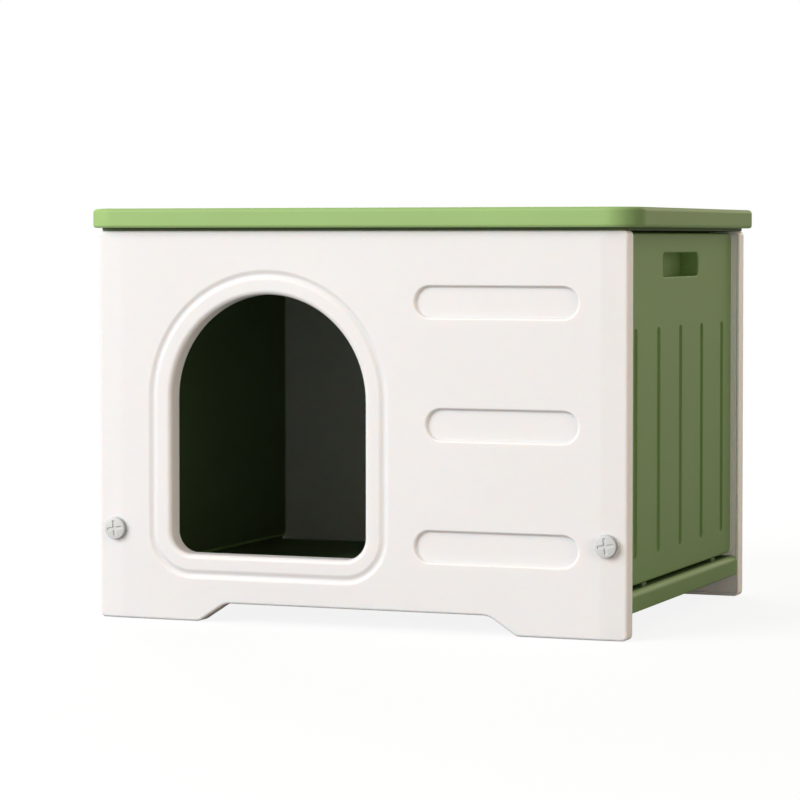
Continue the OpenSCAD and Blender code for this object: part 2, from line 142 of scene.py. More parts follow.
# ------------------------------------------------------------------ outlines
def bent_line(corners, closed, step=FINE):
    """Line through (x, y, radius) corners, as (point, left normal before, left normal after)."""
    count = len(corners)
    out = []

    def add(p, a, b):
        if out and math.dist(out[-1][0], p) < TINY:
            out[-1] = (out[-1][0], out[-1][1], b)
        else:
            out.append((p, a, b))

    for i, (x, y, r) in enumerate(corners):
        before = corners[i - 1] if closed or i else None
        after = corners[(i + 1) % count] if closed or i < count - 1 else None
        turn_in = heading(before, corners[i]) if before else None
        turn_out = heading(corners[i], after) if after else None
        if turn_in is None or turn_out is None:
            n = left(turn_out if turn_in is None else turn_in)
            add((x, y), n, n)
            continue
        angle = math.remainder(turn_out - turn_in, 2 * math.pi)
        if r < TINY or abs(angle) < TINY:
            add((x, y), left(turn_in), left(turn_out))
            continue
        reach = r * math.tan(abs(angle) / 2)
        side = math.copysign(1, angle)
        n = left(turn_in)
        start = (x - reach * math.cos(turn_in), y - reach * math.sin(turn_in))
        centre = (start[0] + side * r * n[0], start[1] + side * r * n[1])
        parts = max(2, math.ceil(abs(angle) / step))
        for k in range(parts + 1):
            n = left(turn_in + angle * k / parts)
            add((centre[0] - side * r * n[0], centre[1] - side * r * n[1]), n, n)
    if closed and math.dist(out[0][0], out[-1][0]) < TINY:
        out[0] = (out[0][0], out[-1][1], out[0][2])
        out.pop()
    return out


def heading(a, b):
    return math.atan2(b[1] - a[1], b[0] - a[0])


def left(angle):
    return (-math.sin(angle), math.cos(angle))


def loop(corners, hole=False, step=FINE):
    """Closed outline as (point, normal), with the normals pointing away from the material."""
    area = sum(a[0] * b[1] - b[0] * a[1] for a, b in zip(corners, corners[1:] + corners[:1]))
    if (area > 0) != hole:
        corners = corners[::-1]
    return [(p, n) for p, n, _ in bent_line(corners, True, step)]


def rectangle(x0, y0, x1, y1, r, hole=False, step=FINE):
    return loop([(x0, y0, r), (x1, y0, r), (x1, y1, r), (x0, y1, r)], hole, step)


def circle(x, y, r, hole=False, parts=48, places=()):
    """Circle with a point wherever it crosses one of these values of u, too."""
    side = -1 if hole else 1
    angles = [2 * math.pi * k / parts for k in range(parts)]
    for u in places:
        if abs(u - x) < r:
            a = math.acos((u - x) / r)
            angles += [a, 2 * math.pi - a]
    out = []
    for a in sorted(angles):
        c, n = math.cos(a), -side * math.sin(a)
        out.append(((x + r * c, y + r * n), (side * c, side * n)))
    return out


def profile(*corners):
    """Open section as (distance from the outline, height, radius) corners."""
    return bent_line([c if len(c) == 3 else (*c, 0.0) for c in corners], False, SECTION_STEP)


def shifted(path, d):
    """The outline moved by d away from the material, or into it where d is negative."""
    return [((p[0] + n[0] * d, p[1] + n[1] * d), n) for p, n in path]


def ring(path, d=0.0):
    """The points alone of an outline that is shifted by d."""
    return [p for p, _ in shifted(path, d)]


def cut_at(path, places):
    """The outline with a point added wherever it crosses one of these values of u."""
    out = []
    for (p, n), (q, m) in zip(path, path[1:] + path[:1]):
        out.append((p, n))
        hits = [(u - p[0]) / (q[0] - p[0]) for u in places if (u - p[0]) * (u - q[0]) < -TINY]
        for t in sorted(hits):
            mid = Vector(n).lerp(Vector(m), t).normalized()
            out.append(((p[0] + (q[0] - p[0]) * t, p[1] + (q[1] - p[1]) * t), tuple(mid)))
    return out


def inside(point, rings):
    """Is the point inside an odd number of these rings?"""
    x, y = point
    odd = False
    for r in rings:
        for (ax, ay), (bx, by) in zip(r, r[1:] + r[:1]):
            if (ay > y) != (by > y) and x < ax + (y - ay) * (bx - ax) / (by - ay):
                odd = not odd
    return odd


# ------------------------------------------------------------------ surfaces
class Plane:
    """Workplane: its origin in millimetres and the directions of u, v and h."""

    def __init__(self, origin, u, v):
        self.origin, self.u, self.v = Vector(origin), Vector(u), Vector(v)
        self.h = self.u.cross(self.v)

    def at(self, u, v, h):
        return self.origin + self.u * u + self.v * v + self.h * h

    def along(self, u, v, h):
        return self.u * u + self.v * v + self.h * h


class Shape:
    """Mesh under construction. Its corners carry their own normals."""

    def __init__(self, plane, bend=None):
        self.plane, self.bend = plane, bend
        self.index, self.points, self.faces, self.normals = {}, [], [], []

    def corner(self, u, v, h, nu, nv, nh):
        if self.bend:
            rise, gu, gv = self.bend(u, v, h)
            h, nu, nv = h + rise, nu - gu * nh, nv - gv * nh
        p = self.plane.at(u, v, h)
        key = tuple(round(c * WELD) for c in p)
        if key not in self.index:
            self.index[key] = len(self.points)
            self.points.append(p)
        return self.index[key], self.plane.along(nu, nv, nh).normalized()

    def face(self, corners):
        """Adds a face and turns it so that it agrees with its corners' normals."""
        made = []
        for c in corners:
            i, n = self.corner(*c)
            if not made or made[-1][0] != i:
                made.append((i, n))
        if len(made) > 1 and made[0][0] == made[-1][0]:
            made.pop()
        if len({i for i, _ in made}) < 3:
            return
        total, first = Vector((0, 0, 0)), self.points[made[0][0]]
        for (i, _), (j, _) in zip(made[1:], made[2:]):
            total += (self.points[i] - first).cross(self.points[j] - first)
        if total.length < NO_AREA:
            return
        if total.dot(sum((n for _, n in made), Vector((0, 0, 0)))) < 0:
            made.reverse()
        self.faces.append([i for i, _ in made])
        self.normals.extend(n for _, n in made)

    def sweep(self, path, section, skip=None):
        """Carries a section round an outline. skip(normal, segment) leaves quads out."""
        for (p, n), (q, m) in zip(path, path[1:] + path[:1]):
            for k, (a, b) in enumerate(zip(section, section[1:])):
                if skip and skip(n, m, k):
                    continue
                (ad, ah), an = a[0], a[2]
                (bd, bh), bn = b[0], b[1]
                self.face([
                    (p[0] + n[0] * ad, p[1] + n[1] * ad, ah, n[0] * an[0], n[1] * an[0], an[1]),
                    (q[0] + m[0] * ad, q[1] + m[1] * ad, ah, m[0] * an[0], m[1] * an[0], an[1]),
                    (q[0] + m[0] * bd, q[1] + m[1] * bd, bh, m[0] * bn[0], m[1] * bn[0], bn[1]),
                    (p[0] + n[0] * bd, p[1] + n[1] * bd, bh, n[0] * bn[0], n[1] * bn[0], bn[1]),
                ])

    def fill(self, h, rings, facing=1, lines=(), dots=()):
        """Flat face at height h between closed rings. lines are pairs of points it breaks at,
        and dots are further points in it."""
        points, edges = [], []
        for r in rings:
            first = len(points)
            points += r
            edges += [(first + k, first + (k + 1) % len(r)) for k in range(len(r))]
        for a, b in lines:
            edges.append((len(points), len(points) + 1))
            points += [a, b]
        points += dots
        spots, _, triangles, *_ = delaunay_2d_cdt([Vector(p) for p in points], edges, [], 0, 1e-4)
        for tri in triangles:
            flat = [tuple(spots[i]) for i in tri]
            middle = (sum(p[0] for p in flat) / 3, sum(p[1] for p in flat) / 3)
            if inside(middle, rings):
                self.face([(*p, h, 0, 0, facing) for p in flat])

    def finish(self, name, body, material, node):
        mesh = bpy.data.meshes.new(name)
        mesh.from_pydata([tuple(p * MM) for p in self.points], [], self.faces)
        mesh.polygons.foreach_set("use_smooth", [True] * len(mesh.polygons))
        mesh.normals_split_custom_set([tuple(n) for n in self.normals])
        mesh.materials.append(material)
        mesh.update()
        obj = bpy.data.objects.new(name, mesh)
        scene.collection.objects.link(obj)
        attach(obj, body)
        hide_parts(node)
        return obj


FRONT = Plane((0, -FACE_Y, 0), (1, 0, 0), (0, 0, 1))
REAR = Plane((0, FACE_Y, 0), (-1, 0, 0), (0, 0, 1))
RIGHT = Plane((SIDE_X, 0, 0), (0, 1, 0), (0, 0, 1))
LEFT = Plane((-SIDE_X, 0, 0), (0, -1, 0), (0, 0, 1))
TOP = Plane((0, 0, 0), (1, 0, 0), (0, 1, 0))
UNDER = Plane((0, 0, 0), (1, 0, 0), (0, -1, 0))
ROOF_TOP = Plane((0, 0, ROOF_Z), (1, 0, 0), (0, 1, 0))


# ------------------------------------------------------------------ materials
def plastic(name, colour, roughness, grain, tint=0.035, depth=None):
    """Moulded plastic: fine grain, and a slight drift of tone and gloss over the surface. Light
    spreads inside a pale one, as far as depth, in millimetres."""
    mat = bpy.data.materials.new(name)
    mat["slot"] = name.removeprefix("inner_")   # the darker green, which paints the shade inside the house, has the green's slot
    mat.use_nodes = True
    nodes, links = mat.node_tree.nodes, mat.node_tree.links
    shader = nodes["Principled BSDF"]
    shader.inputs["IOR"].default_value = 1.5
    shader.inputs["Specular IOR Level"].default_value = 0.42
    if depth:
        shader.inputs["Subsurface Weight"].default_value = 0.8
        shader.inputs["Subsurface Radius"].default_value = depth
        shader.inputs["Subsurface Scale"].default_value = MM
    place = nodes.new("ShaderNodeTexCoord")

    def noise(scale, detail):
        made = nodes.new("ShaderNodeTexNoise")
        made.inputs["Scale"].default_value = scale
        made.inputs["Detail"].default_value = detail
        links.new(place.outputs["Object"], made.inputs["Vector"])
        return made

    drift = noise(6.0, 3.0)
    tone = nodes.new("ShaderNodeValToRGB")
    for stop, at, change in zip(tone.color_ramp.elements, (0.3, 0.7), (1 - tint, 1 + tint)):
        stop.position = at
        stop.color = (*[min(1.0, c * change) for c in colour], 1)
    links.new(drift.outputs["Fac"], tone.inputs["Fac"])
    links.new(tone.outputs["Color"], shader.inputs["Base Color"])
    gloss = nodes.new("ShaderNodeMapRange")
    gloss.inputs["To Min"].default_value = roughness - 0.05
    gloss.inputs["To Max"].default_value = roughness + 0.06
    links.new(drift.outputs["Fac"], gloss.inputs["Value"])
    links.new(gloss.outputs["Result"], shader.inputs["Roughness"])
    fine = noise(900.0, 2.0)
    bump = nodes.new("ShaderNodeBump")
    bump.inputs["Strength"].default_value = grain
    bump.inputs["Distance"].default_value = 0.0003
    links.new(fine.outputs["Fac"], bump.inputs["Height"])
    links.new(bump.outputs["Normal"], shader.inputs["Normal"])
    return mat


WHITE = plastic("white_plastic", (0.735, 0.72, 0.72), roughness=0.48, grain=0.10,
                tint=0.012, depth=(6.0, 4.0, 3.0))
GREEN = plastic("green_plastic", (0.312, 0.47, 0.166), roughness=0.46, grain=0.14)
# Darker copy of the green: painted shade for the surfaces inside the house and under the roof,
# where little light gets in.
SHADED_GREEN = plastic("inner_green_plastic", (0.11, 0.175, 0.062), roughness=0.55, grain=0.14)
GREY = plastic("grey_plastic", (0.60, 0.60, 0.585), roughness=0.42, grain=0.08)
WASHER_GREY = plastic("washer_plastic", (0.52, 0.52, 0.50), roughness=0.45, grain=0.08)
SOCKET = plastic("socket_plastic", (0.62, 0.60, 0.54), roughness=0.5, grain=0.08)


# ------------------------------------------------------------------ front and rear panels
BEND_AT = HALF_W - BAND_W
SLOPE = BULGE / BAND_W
CREASES = [s * (BEND_AT + c) for s in (-1, 1) for c in (-CREASE, CREASE)]


def band(u, v, h):
    """The outer face falls away towards the panel's side edges."""
    share = min(1.0, max(0.0, (h - BEND_FROM) / (BEND_TO - BEND_FROM)))
    past = abs(u) - BEND_AT
    if past <= -CREASE or share == 0.0:
        return 0.0, 0.0, 0.0
    if past < CREASE:
        t = (past + CREASE) / (2 * CREASE)
        fall, rate = CREASE * t * t, t
    else:
        fall, rate = past, 1.0
    return -SLOPE * fall * share, -SLOPE * rate * share * math.copysign(1, u), 0.0


def panel_outline():
    return cut_at(loop([
        (-HALF_W, 0, PANEL_R), (-GAP_W / 2, 0, GAP_R), (-GAP_TOP_W / 2, GAP_H, GAP_TOP_R),
        (GAP_TOP_W / 2, GAP_H, GAP_TOP_R), (GAP_W / 2, 0, GAP_R), (HALF_W, 0, PANEL_R),
        (HALF_W, PANEL_H, PANEL_R), (-HALF_W, PANEL_H, PANEL_R),
    ]), CREASES)


def door_outline(grow=0.0):
    return shifted(loop([
        (DOOR_X - DOOR_W / 2, SILL_Z, DOOR_R), (DOOR_X + DOOR_W / 2, SILL_Z, DOOR_R),
        (DOOR_X + DOOR_W / 2, SILL_Z + DOOR_H, DOOR_W / 2),
        (DOOR_X - DOOR_W / 2, SILL_Z + DOOR_H, DOOR_W / 2),
    ], True, DOOR_STEP), -grow)


def rim(edge, back, rebate):
    """Section over a rounded edge, down the wall, round its inner lip and into the rebate."""
    return profile(
        (-edge, 0), (0, 0, edge), (0, back, LIP_EDGE), (-WALL, back, REBATE_EDGE), (-WALL, rebate)
    )


def hollow(s, path, depth, edge, top_r, lean, foot_r):
    """Recess or groove with a flat floor. It gives back the ring where it meets the face."""
    s.sweep(path, profile((-edge, 0), (0, 0, top_r), (lean, -depth, foot_r), (STRIP, -depth)))
    s.fill(-depth, [ring(path, STRIP)])
    return ring(path, -edge)


def panel_shell(name, plane, has_door):
    """Front or rear panel: an open shell that its liner closes at the back."""
    s = Shape(plane, band)
    outline = panel_outline()
    s.sweep(outline, rim(PANEL_EDGE, PANEL_BACK, PANEL_REBATE))
    face, back = [ring(outline, -PANEL_EDGE)], [ring(outline, -WALL)]
    if has_door:
        door = door_outline()
        s.sweep(door, rim(DOOR_EDGE, PANEL_BACK, PANEL_REBATE))
        back.append(ring(door, -WALL))
        line = door_outline(LINE_OFFSET)
        half = LINE_W / 2 + LINE_STRIP
        s.sweep(line, profile(
            (-half, 0), (-LINE_W / 2, 0, LINE_R), (0, -LINE_DEPTH, LINE_R),
            (LINE_W / 2, 0, LINE_R), (half, 0),
        ))
        face.append(ring(line, -half))
        s.fill(0, [ring(line, half), ring(door, -DOOR_EDGE)])
    for i in range(3):
        x0 = RECESS_RIGHT - RECESS_LEN + (RECESS_SHORT if i == 1 else 0)
        z, half = RECESS_Z + i * RECESS_PITCH, RECESS_H / 2
        recess = rectangle(x0, z - half, RECESS_RIGHT, z + half, half, True)
        face.append(hollow(s, recess, RECESS_DEPTH, edge=1.6, top_r=1.6, lean=1.0, foot_r=2.0))
    for x in (-SIDE_MID, SIDE_MID):
        pad = circle(x, SCREW_Z, PAD_R, parts=64, places=CREASES)
        hole = circle(x, SCREW_Z, HOLE_R, True)
        boss = circle(x, SCREW_Z, BOSS_R)
        face.append(ring(pad))
        # the pad is flat, so a low wall joins it to the band that falls away round it
        for (p, n), (q, m) in zip(pad, pad[1:] + pad[:1]):
            s.face([
                (*p, 0, *n, 0), (*q, 0, *m, 0),
                (*q, -band(*q, 0)[0], *m, 0), (*p, -band(*p, 0)[0], *n, 0),
            ])
        s.bend = None
        s.fill(0, [ring(pad), ring(hole)])
        s.sweep(hole, profile((0, 0), (0, PANEL_BACK)))
        s.sweep(boss, profile((0, PANEL_REBATE), (0, PANEL_BACK)))
        s.fill(PANEL_BACK, [ring(boss), ring(hole)], -1)
        s.bend = band
        back.append(ring(boss))
    # the face breaks where the bands begin
    creases = []
    for u in CREASES:
        vs = sorted(p[1] for p in face[0] if abs(p[0] - u) < TINY)
        creases.append(((u, vs[0]), (u, vs[-1])))
    s.fill(0, face, lines=creases)
    s.fill(PANEL_REBATE, back, -1)
    s.finish(name, "house", WHITE, name)


def plate(s, top, bottom, outer, holes, edge=0.4):
    """Flat plate between two heights, with its edges eased."""
    section = profile((-edge, top), (0, top, edge), (0, bottom, edge), (-edge, bottom))
    for path in (outer, *holes):
        s.sweep(path, section)
    s.fill(top, [ring(p, -edge) for p in (outer, *holes)])
    s.fill(bottom, [ring(p, -edge) for p in (outer, *holes)], -1)


def key_hole(x, half, z0, z1):
    """Hole in a panel's liner for a tongue or lug."""
    return rectangle(
        x - half - KEY_GAP, z0 - KEY_GAP, x + half + KEY_GAP, z1 + KEY_GAP, KEY_R, True, COARSE
    )


def panel_liner(name, plane, has_door):
    s = Shape(plane)
    holes = [circle(x, SCREW_Z, BOSS_R + GAP, True) for x in (-SIDE_MID, SIDE_MID)]
    for side in (-1, 1):
        holes += [key_hole(side * SIDE_MID, TONGUE_HALF, z0, z1) for z0, z1 in TONGUES]
        holes.append(key_hole(side * LUG_X, LUG_HALF, LUG_Z0, LUG_Z1))
    if has_door:
        holes.append(door_outline(WALL + GAP))
    outer = shifted(panel_outline(), -WALL - GAP)
    plate(s, PANEL_BACK + LINER, PANEL_BACK, outer, holes)
    s.finish(name, "house", WHITE, name)


# ------------------------------------------------------------------ side panels
def stud(s, path, top, base, edge=0.3):
    """Closed block standing on a face. It gives back the ring of the hole that the face needs."""
    s.sweep(path, profile((-edge, top), (0, top, edge), (0, base)))
    s.fill(top, [ring(path, -edge)])
    return ring(path)


def tallest(section):
    """Which segment of a section goes down the furthest."""
    return max(range(len(section) - 1), key=lambda k: section[k][0][1] - section[k + 1][0][1])


def flat_part(segment, axis):
    """Skip for a sweep: this segment, where the outline is straight and faces along this axis.
    The flat wall there is filled apart, round what stands on it."""
    return lambda n, m, k: k == segment and math.dist(n, m) < TINY and abs(n[axis]) > 0.5


def side_shell(name, plane):
    s = Shape(plane)
    outline = rectangle(-SIDE_HALF, SIDE_Z0, SIDE_HALF, SIDE_Z1, SIDE_R)
    section = rim(SIDE_EDGE, SIDE_BACK, SIDE_REBATE)
    tall = tallest(section)
    s.sweep(outline, section, flat_part(tall, 0))
    face = [ring(outline, -SIDE_EDGE)]
    for i in range(-2, 3):
        x, half = i * GROOVE_PITCH, GROOVE_W / 2
        groove = rectangle(x - half, GROOVE_Z0, x + half, GROOVE_Z1, half, True)
        face.append(hollow(s, groove, GROOVE_DEPTH, edge=1.0, top_r=0.8, lean=0.4, foot_r=1.2))
    slot = rectangle(-SLOT_HALF, SLOT_Z0, SLOT_HALF, SLOT_Z1, SLOT_R, True)
    s.sweep(slot, profile((-SLOT_EDGE, 0), (0, 0, SLOT_EDGE), (0, SIDE_REBATE)))
    face.append(ring(slot, -SLOT_EDGE))
    s.fill(0, face)
    s.fill(SIDE_REBATE, [ring(outline, -WALL), ring(slot)], -1)
    # flat ends, with the bore of the socket and the tongues
    h0, h1 = section[tall][0][1], section[tall + 1][0][1]
    v0, v1 = SIDE_Z0 + SIDE_R, SIDE_Z1 - SIDE_R
    for side in (-1, 1):
        s.plane = Plane(plane.at(side * SIDE_HALF, 0, 0), plane.h * -side, plane.v)
        rings = [[(-side * h0, v0), (-side * h1, v0), (-side * h1, v1), (-side * h0, v1)]]
        x = side * (SIDE_X - SIDE_MID)
        bore = circle(x, SCREW_Z, BORE_R, True)
        rings.append(ring(bore))
        s.sweep(bore, profile((0, 0), (0, -BORE_LEN)))
        s.fill(-BORE_LEN, [ring(bore)])
        for z0, z1 in TONGUES:
            tongue = rectangle(x - TONGUE_HALF, z0, x + TONGUE_HALF, z1, TONGUE_R, step=COARSE)
            rings.append(stud(s, tongue, KEY, 0))
        s.fill(0, rings)
    s.plane = plane
    s.finish(name, "house", GREEN, name)


def side_liner(name, plane):
    s = Shape(plane)
    outer = shifted(rectangle(-SIDE_HALF, SIDE_Z0, SIDE_HALF, SIDE_Z1, SIDE_R), -WALL - GAP)
    plate(s, SIDE_BACK + LINER, SIDE_BACK, outer, [])
    # The liner gets the darker green: painted shade on the inside of the walls.
    liner = s.finish(name, "house", SHADED_GREEN, name)
    # its outward face is the floor of the finger slot
    second_colour(liner, GREEN, lambda at: abs(at.x) > (SIDE_X + SIDE_BACK + LINER - NEAR) * MM)


def second_colour(obj, material, holds):
    """Gives this material to the faces whose centres the test holds for."""
    obj.data.materials.append(material)
    for face in obj.data.polygons:
        if holds(face.center):
            face.material_index = 1


# ------------------------------------------------------------------ floor
def floor_tray():
    """Raised floor with a rounded lip at both sides, open pockets below and a plain deck."""
    across = Plane((0, 0, 0), (1, 0, 0), (0, 0, 1))
    s = Shape(across)
    outline = loop([
        (-FLOOR_X, FLOOR_Z0, FOOT_R), (-FLOOR_X, FLOOR_Z1, LIP_R),
        (FLOOR_X, FLOOR_Z1, LIP_R), (FLOOR_X, FLOOR_Z0, FOOT_R),
    ])
    section = profile(
        (-FLOOR_END, SIDE_HALF), (0, SIDE_HALF, FLOOR_END),
        (0, -SIDE_HALF, FLOOR_END), (-FLOOR_END, -SIDE_HALF),
    )
    s.sweep(outline, section, flat_part(tallest(section), 1))
    run = SIDE_HALF - FLOOR_END
    # ends, with the lugs
    for plane in (across, Plane((0, 0, 0), (-1, 0, 0), (0, 0, 1))):
        s.plane = plane
        rings = [ring(outline, -FLOOR_END)]
        for x in (-LUG_X, LUG_X):
            lug = rectangle(x - LUG_HALF, LUG_Z0, x + LUG_HALF, LUG_Z1, KEY_R, step=COARSE)
            rings.append(stud(s, lug, SIDE_HALF + KEY, SIDE_HALF))
        s.fill(SIDE_HALF, rings)
    # deck, with the tabs that carry the side panels, and low sills that close the gap under them
    s.plane = TOP
    lip = FLOOR_X - LIP_R
    rings = [[(-lip, -run), (lip, -run), (lip, run), (-lip, run)]]
    for sx in (-1, 1):
        x0, x1 = sorted(sx * x for x in TAB_X)
        for y in (-TAB_Y, TAB_Y):
            tab = rectangle(x0, y - TAB_HALF, x1, y + TAB_HALF, TAB_R, step=COARSE)
            rings.append(stud(s, tab, SIDE_Z0, FLOOR_Z1, 0.8))
        x0, x1 = sorted(sx * x for x in SILL_X)
        for y0, y1 in SILLS_Y:
            sill = rectangle(x0, y0, x1, y1, KEY_R, step=COARSE)
            rings.append(stud(s, sill, SIDE_Z0 - GAP, FLOOR_Z1))
    s.fill(FLOOR_Z1, rings)
    # underside, with the pockets between the ribs
    s.plane = UNDER
    foot = FLOOR_X - FOOT_R
    rings = [[(-foot, -run), (foot, -run), (foot, run), (-foot, run)]]
    for x0, x1 in between_ribs(FLOOR_X, *RIBS_X):
        for y0, y1 in between_ribs(SIDE_HALF, *RIBS_Y):
            pocket = rectangle(x0, y0, x1, y1, POCKET_R, True, COARSE)
            s.sweep(pocket, profile((0, -FLOOR_Z0), (0, -FLOOR_Z1 + WALL)))
            s.fill(-FLOOR_Z1 + WALL, [ring(pocket)])
            rings.append(ring(pocket))
    s.fill(-FLOOR_Z0, rings)
    tray = s.finish("floor_tray", "house", GREEN, "floor_tray")
    # The deck inside the walls gets the darker green: painted shade.
    second_colour(tray, SHADED_GREEN,
                  lambda at: at.z > (FLOOR_Z1 - NEAR) * MM and abs(at.x) < DECK_X * MM)


def between_ribs(edge, pitch, count):
    """Where each row of pockets begins and ends, from one edge of the floor to the other."""
    ribs = [(k + 0.5) * pitch for k in range(-count, count)]
    ends = [-edge + WALL, *(x + t * RIB_T / 2 for x in ribs for t in (-1, 1)), edge - WALL]
    return list(zip(ends[::2], ends[1::2]))


# ------------------------------------------------------------------ roof
def roof_outline():
    return rectangle(-ROOF_X, -ROOF_Y, ROOF_X, ROOF_Y, ROOF_R, step=ROOF_STEP)


def roof_cover():
    s = Shape(ROOF_TOP)
    outline = roof_outline()
    s.sweep(outline, profile(
        (-ROOF_EDGE, 0), (0, 0, ROOF_EDGE), (0, -ROOF_T, WALL), (-WALL, -ROOF_T),
        (-WALL, ROOF_INSIDE),
    ))
    s.fill(0, [ring(outline, -ROOF_EDGE)])
    s.fill(ROOF_INSIDE, [ring(outline, -WALL)], -1)
    s.finish("roof_cover", "roof", GREEN, "roof_cover")


def roof_liner():
    """Plate, the thicker part of it that rests on the walls, and the fence inside them."""
    top, under, rest, foot = -16.7, -19.2, -22.5, -32.5
    edge, rest_edge, fence_edge = 0.4, 0.6, 1.0
    s = Shape(ROOF_TOP)
    outline = shifted(roof_outline(), -WALL - GAP)
    pad = rectangle(-REST_X, -REST_Y, REST_X, REST_Y, FENCE_R)
    fence = rectangle(-FENCE_X, -FENCE_Y, FENCE_X, FENCE_Y, FENCE_R)
    s.sweep(outline, profile((-edge, top), (0, top, edge), (0, under, edge), (-edge, under)))
    s.fill(top, [ring(outline, -edge)])
    s.fill(under, [ring(outline, -edge), ring(pad)], -1)
    s.sweep(pad, profile((0, under), (0, rest, rest_edge), (-rest_edge, rest)))
    s.fill(rest, [ring(pad, -rest_edge), ring(fence)], -1)
    s.sweep(fence, profile(
        (0, rest), (0, foot, fence_edge), (-WALL, foot, fence_edge), (-WALL, rest)
    ))
    s.fill(rest, [ring(fence, -WALL)], -1)
    # The roof's underside gets the darker green: painted shade.
    s.finish("roof_liner", "roof", SHADED_GREEN, "roof_liner")


# ------------------------------------------------------------------ fasteners
DOME_R = (HEAD_R ** 2 + DOME ** 2) / (2 * DOME)
HEAD_TOP = WASHER_T + HEAD_H
DOME_FROM = HEAD_TOP - DOME + 0.3   # corners below this height aren't on the dome


def dome(u, v, h):
    """The top of a screw's head is part of a large sphere."""
    if h < DOME_FROM:
        return 0.0, 0.0, 0.0
    deep = math.sqrt(DOME_R ** 2 - u * u - v * v)
    return deep - DOME_R, -u / deep, -v / deep


def cross_outline():
    half, w = CROSS_HALF, CROSS_HALF_W
    quarter = [(half, -w, CROSS_END_R), (half, w, CROSS_END_R), (w, w, CROSS_INNER_R)]
    corners = []
    for k in range(4):
        turn = CROSS_TURN + k * math.pi / 2
        c, n = math.cos(turn), math.sin(turn)
        corners += [(x * c - y * n, x * n + y * c, r) for x, y, r in quarter]
    return loop(corners, True, COARSE)


def screw(name, plane):
    """Domed head with a cross slot, on a threaded shank."""
    head_edge, foot_edge, foot = 0.9, 0.2, 0.4
    s = Shape(plane, dome)
    brim = circle(0, 0, HEAD_R)
    cross = cross_outline()
    deep = HEAD_TOP - CROSS_DEPTH
    s.sweep(cross, profile((-CROSS_EDGE, HEAD_TOP), (0, HEAD_TOP, CROSS_EDGE), (CROSS_LEAN, deep)))
    s.fill(deep, [ring(cross, CROSS_LEAN)])
    dots = [p for r in DOME_RINGS for p in ring(circle(0, 0, r, parts=24))]
    s.fill(HEAD_TOP, [ring(brim, -BRIM), ring(cross, -CROSS_EDGE)], dots=dots)
    s.bend = None
    low = HEAD_TOP + dome(HEAD_R - BRIM, 0, HEAD_TOP)[0]
    s.sweep(brim, profile(
        (-BRIM, low), (0, HEAD_TOP - DOME, head_edge), (0, WASHER_T, foot_edge), (-foot, WASHER_T)
    ))
    shank = circle(0, 0, SHANK_R, parts=SHANK_PARTS)
    s.fill(WASHER_T, [ring(brim, -foot), ring(shank)], -1)
    thread(s, shank)
    s.finish(name, name, GREY, name)


def thread(s, shank):
    """Plain shank, a two-start right-hand thread of 6 mm lead, and a tapered tip."""
    lead, root, crest, start, end = 6.0, 3.35, SHANK_R, -19.5, -44.5
    steep, flat = 2.4, 0.15             # the thread's flanks, and its crests
    taper, tip_end = 2.0, -47.5
    rows = [WASHER_T, start, *(start - lead / 16 * k for k in range(1, 67)), end - 0.3]

    def radius(angle, h):
        ramp = min(1.0, max(0.0, (start - h) / 2), max(0.0, (h - end) / 2))
        turn = 2 * (h / lead - angle / (2 * math.pi))
        wave = min(1.0, max(0.0, steep * abs(turn - round(turn)) - flat))
        return crest - (crest - root) * wave * ramp

    def point(angle, h):
        """A point of the surface, and its normal from the radius close by."""
        r, d = radius(angle, h), 0.02
        slope = (radius(angle, h + d) - radius(angle, h - d)) / (2 * d)
        twist = (radius(angle + d, h) - radius(angle - d, h)) / (2 * d * r)
        c, n = math.cos(angle), math.sin(angle)
        return (r * c, r * n, h, c + twist * n, n - twist * c, -slope)

    angles = [-2 * math.pi * k / len(shank) for k in range(len(shank) + 1)]
    for a, b in zip(angles, angles[1:]):
        for high, low in zip(rows, rows[1:]):
            s.face([point(a, high), point(b, high), point(b, low), point(a, low)])
    tip = circle(0, 0, crest, parts=len(shank))
    s.sweep(tip, profile((0, rows[-1]), (-taper, tip_end)))
    s.fill(tip_end, [ring(tip, -taper)], -1)


def washer(name, plane):
    s = Shape(plane)
    plate(s, WASHER_T, 0.0, circle(0, 0, WASHER_R), [circle(0, 0, HOLE_R, True)], 0.3)
    s.finish(name, name, WASHER_GREY, name)


# ------------------------------------------------------------------ the house
panel_shell("front_shell", FRONT, True)
panel_liner("front_liner", FRONT, True)
panel_shell("rear_shell", REAR, False)
panel_liner("rear_liner", REAR, False)
side_shell("right_shell", RIGHT)
side_liner("right_liner", RIGHT)
side_shell("left_shell", LEFT)
side_liner("left_liner", LEFT)
floor_tray()
roof_cover()
roof_liner()
for end, sy in (("front", -1), ("rear", 1)):
    for side, sx in (("left", -1), ("right", 1)):
        seat = Plane((sx * SIDE_MID, sy * FACE_Y, SCREW_Z), (-sy, 0, 0), (0, 0, 1))
        screw(f"{end}_{side}_screw", seat)
        washer(f"{end}_{side}_washer", seat)
sockets = frame["nodes"]["threaded_sockets"]
sockets.data.materials.clear()
sockets.data.materials.append(SOCKET)


# ------------------------------------------------------------------ studio
AIM = Vector((0, 0, 0.2))           # what the softboxes point at
FLOOR_DROP = 0.0005                 # the studio floor lies this far below the feet


def camera_sees(shader, otherwise, nodes, links):
    """One shader for what the camera sees, and another for the light that the house gets."""
    rays, either = nodes.new("ShaderNodeLightPath"), nodes.new("ShaderNodeMixShader")
    links.new(rays.outputs["Is Camera Ray"], either.inputs["Fac"])
    links.new(otherwise.outputs[0], either.inputs[1])
    links.new(shader.outputs[0], either.inputs[2])
    return either


